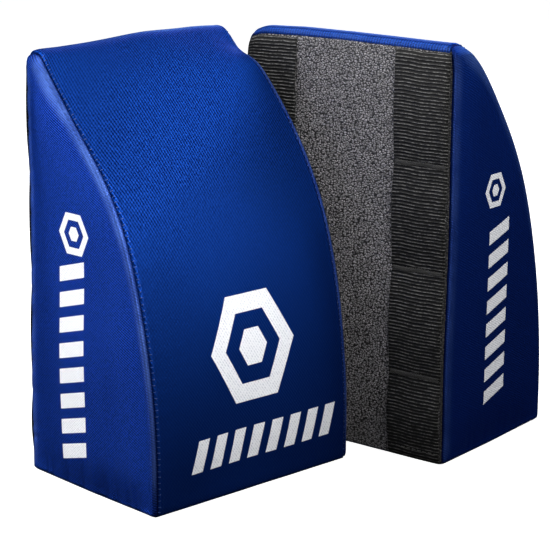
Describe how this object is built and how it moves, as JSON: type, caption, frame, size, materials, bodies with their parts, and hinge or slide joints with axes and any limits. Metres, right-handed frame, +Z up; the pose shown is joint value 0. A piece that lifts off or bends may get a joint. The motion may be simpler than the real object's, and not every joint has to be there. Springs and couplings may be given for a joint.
{
  "type": "catcher's knee supports",
  "caption": "Pair of tapered foam wedges in blue nylon covers, with flat black vinyl backs that carry sewn webbing loops for calf straps.",
  "frame": {"origin": "middle of the pair's footprint, on the surface that both pads stand on", "axes": "+Z up; +X to the right and +Y away when the pair is seen with the left pad's front and the right pad's back showing"},
  "size_m": [0.266, 0.229, 0.215],
  "materials": {
    "blue_nylon": "woven, satin",
    "black_vinyl": "pebbled grain, semi-matte",
    "black_webbing": "ribbed webbing, matte",
    "black_thread": "thread",
    "blue_thread": "thread",
    "grey_foam": "closed-cell foam, matte"
  },
  "bodies": {
    "left_pad": {"left_pad_foam_core": "grey_foam", "left_pad_front_panel": "blue_nylon", "left_pad_base_panel": "blue_nylon", "left_pad_back_panel": "black_vinyl", "left_pad_left_side_panel": "blue_nylon", "left_pad_left_webbing": "black_webbing", "left_pad_left_bartacks": "black_thread", "left_pad_left_topstitch": "blue_thread", "left_pad_right_side_panel": "blue_nylon", "left_pad_right_webbing": "black_webbing", "left_pad_right_bartacks": "black_thread", "left_pad_right_topstitch": "blue_thread"},
    "right_pad": {"right_pad_foam_core": "grey_foam", "right_pad_front_panel": "blue_nylon", "right_pad_base_panel": "blue_nylon", "right_pad_back_panel": "black_vinyl", "right_pad_left_side_panel": "blue_nylon", "right_pad_left_webbing": "black_webbing", "right_pad_left_bartacks": "black_thread", "right_pad_left_topstitch": "blue_thread", "right_pad_right_side_panel": "blue_nylon", "right_pad_right_webbing": "black_webbing", "right_pad_right_bartacks": "black_thread", "right_pad_right_topstitch": "blue_thread"}
  },
  "joints": [
    {"name": "lift_right_pad", "type": "slide", "parent": "left_pad", "child": "right_pad", "axis": [0, 0, 1], "range_m": [0, 0.25]}
  ]
}
